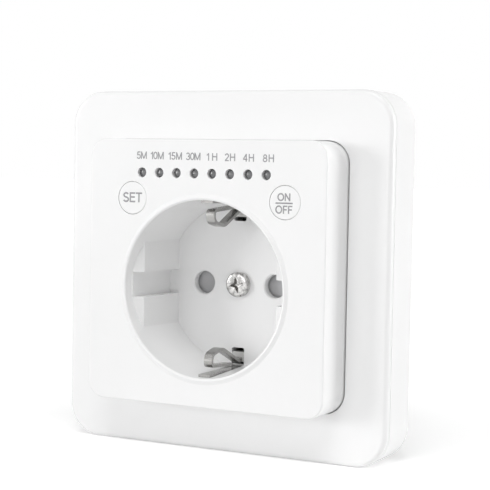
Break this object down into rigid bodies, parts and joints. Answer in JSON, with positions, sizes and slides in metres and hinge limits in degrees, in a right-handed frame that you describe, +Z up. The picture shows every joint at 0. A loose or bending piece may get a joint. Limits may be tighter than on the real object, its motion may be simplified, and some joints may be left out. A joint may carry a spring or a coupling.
{
  "type": "flush-mounted countdown time switch socket",
  "caption": "Square flush-mounted socket outlet with a countdown timer: round earthed plug recess, row of time lights, set key and on-off key in a raised cover inside a rounded frame.",
  "frame": {"origin": "middle of the two wall box screws, on the wall plane at the back of the support plate", "axes": "+X right, +Z up, -Y out of the wall towards the room"},
  "size_m": [0.084, 0.0553, 0.084],
  "materials": {
    "white_plastic": "smooth gloss moulding",
    "clear_guide": "frosted clear moulding, grey when unlit",
    "shutter_grey": "fine matt moulding",
    "base_plastic": "matt insulating moulding",
    "housing_plastic": "matt insulating moulding",
    "nickel": "nickel plated",
    "zinc_steel": "zinc plated",
    "spring_steel": "bare spring steel",
    "brass": "bright brass",
    "board_green": "green solder mask",
    "black_plastic": "black moulding",
    "led_body": "pale diffused resin",
    "relay_case": "dark sealed case",
    "film_case": "yellow flame-proof box",
    "can_sleeve": "printed sleeve, left plain",
    "varistor_coat": "blue dipped coating",
    "fuse_ceramic": "white ceramic tube",
    "terminal_body": "white moulding"
  },
  "bodies": {
    "outlet": {"cover_frame": "white_plastic", "front_cover": "white_plastic", "cover_screw": "nickel", "light_guide": "clear_guide", "switch_bodies": "black_plastic", "status_leds": "led_body", "timer_board": "board_green", "controller_chip": "black_plastic", "board_screws": "zinc_steel", "link_header": "black_plastic", "link_pins": "brass", "link_socket": "black_plastic", "support_plate": "zinc_steel", "plate_screws": "zinc_steel", "socket_base": "base_plastic", "shutter_spring": "spring_steel", "earth_bracket": "nickel", "earth_clip_top": "nickel", "earth_clip_bottom": "nickel", "cover_bush": "brass", "strap_screws": "zinc_steel", "line_contact": "brass", "neutral_contact": "brass", "power_board": "board_green", "relay": "relay_case", "film_capacitor": "film_case", "smoothing_capacitor": "can_sleeve", "varistor": "varistor_coat", "fuse": "fuse_ceramic", "terminal_block": "terminal_body", "terminal_clamps": "brass", "terminal_screws": "zinc_steel", "rear_housing": "housing_plastic", "housing_screws": "zinc_steel"},
    "set_key": {"set_button": "white_plastic", "set_plunger": "black_plastic"},
    "power_key": {"power_button": "white_plastic", "power_plunger": "black_plastic"},
    "shutter": {"shutter": "shutter_grey"},
    "claw_left": {"claw_left": "zinc_steel"},
    "claw_right": {"claw_right": "zinc_steel"},
    "claw_screw_left": {"claw_screw_left": "zinc_steel"},
    "claw_screw_right": {"claw_screw_right": "zinc_steel"}
  },
  "joints": [
    {"name": "set_press", "type": "slide", "parent": "outlet", "child": "set_key", "axis": [0, 1, 0], "range_m": [0, 0.00035], "stiffness_N_per_m": 4000, "springref_m": -0.0001},
    {"name": "power_press", "type": "slide", "parent": "outlet", "child": "power_key", "axis": [0, 1, 0], "range_m": [0, 0.00035], "stiffness_N_per_m": 4000, "springref_m": -0.0001},
    {"name": "shutter_turn", "type": "hinge", "parent": "outlet", "child": "shutter", "pos_m": [0, 0, -0.0035], "axis": [0, 1, 0], "range_deg": [0, 36], "stiffness_Nm_per_rad": 0.02, "springref_deg": -5.73, "deforming": ["shutter_spring"]},
    {"name": "claw_screw_left_turn", "type": "hinge", "parent": "outlet", "child": "claw_screw_left", "pos_m": [-0.0248, 0, 0], "axis": [0, 1, 0], "range_deg": [0, 838]},
    {"name": "claw_left_turn", "type": "hinge", "parent": "outlet", "child": "claw_left", "pos_m": [-0.0218, 0.0046, 0], "axis": [0, 0, 1], "range_deg": [0, 20]},
    {"name": "claw_screw_right_turn", "type": "hinge", "parent": "outlet", "child": "claw_screw_right", "pos_m": [0.0248, 0, 0], "axis": [0, 1, 0], "range_deg": [0, 838]},
    {"name": "claw_right_turn", "type": "hinge", "parent": "outlet", "child": "claw_right", "pos_m": [0.0218, 0.0046, 0], "axis": [0, 0, -1], "range_deg": [0, 20]}
  ],
  "couplings": [
    {"joint": "claw_screw_left_turn", "follows": "claw_left_turn", "ratio": 41.888},
    {"joint": "claw_screw_right_turn", "follows": "claw_right_turn", "ratio": 41.888}
  ]
}
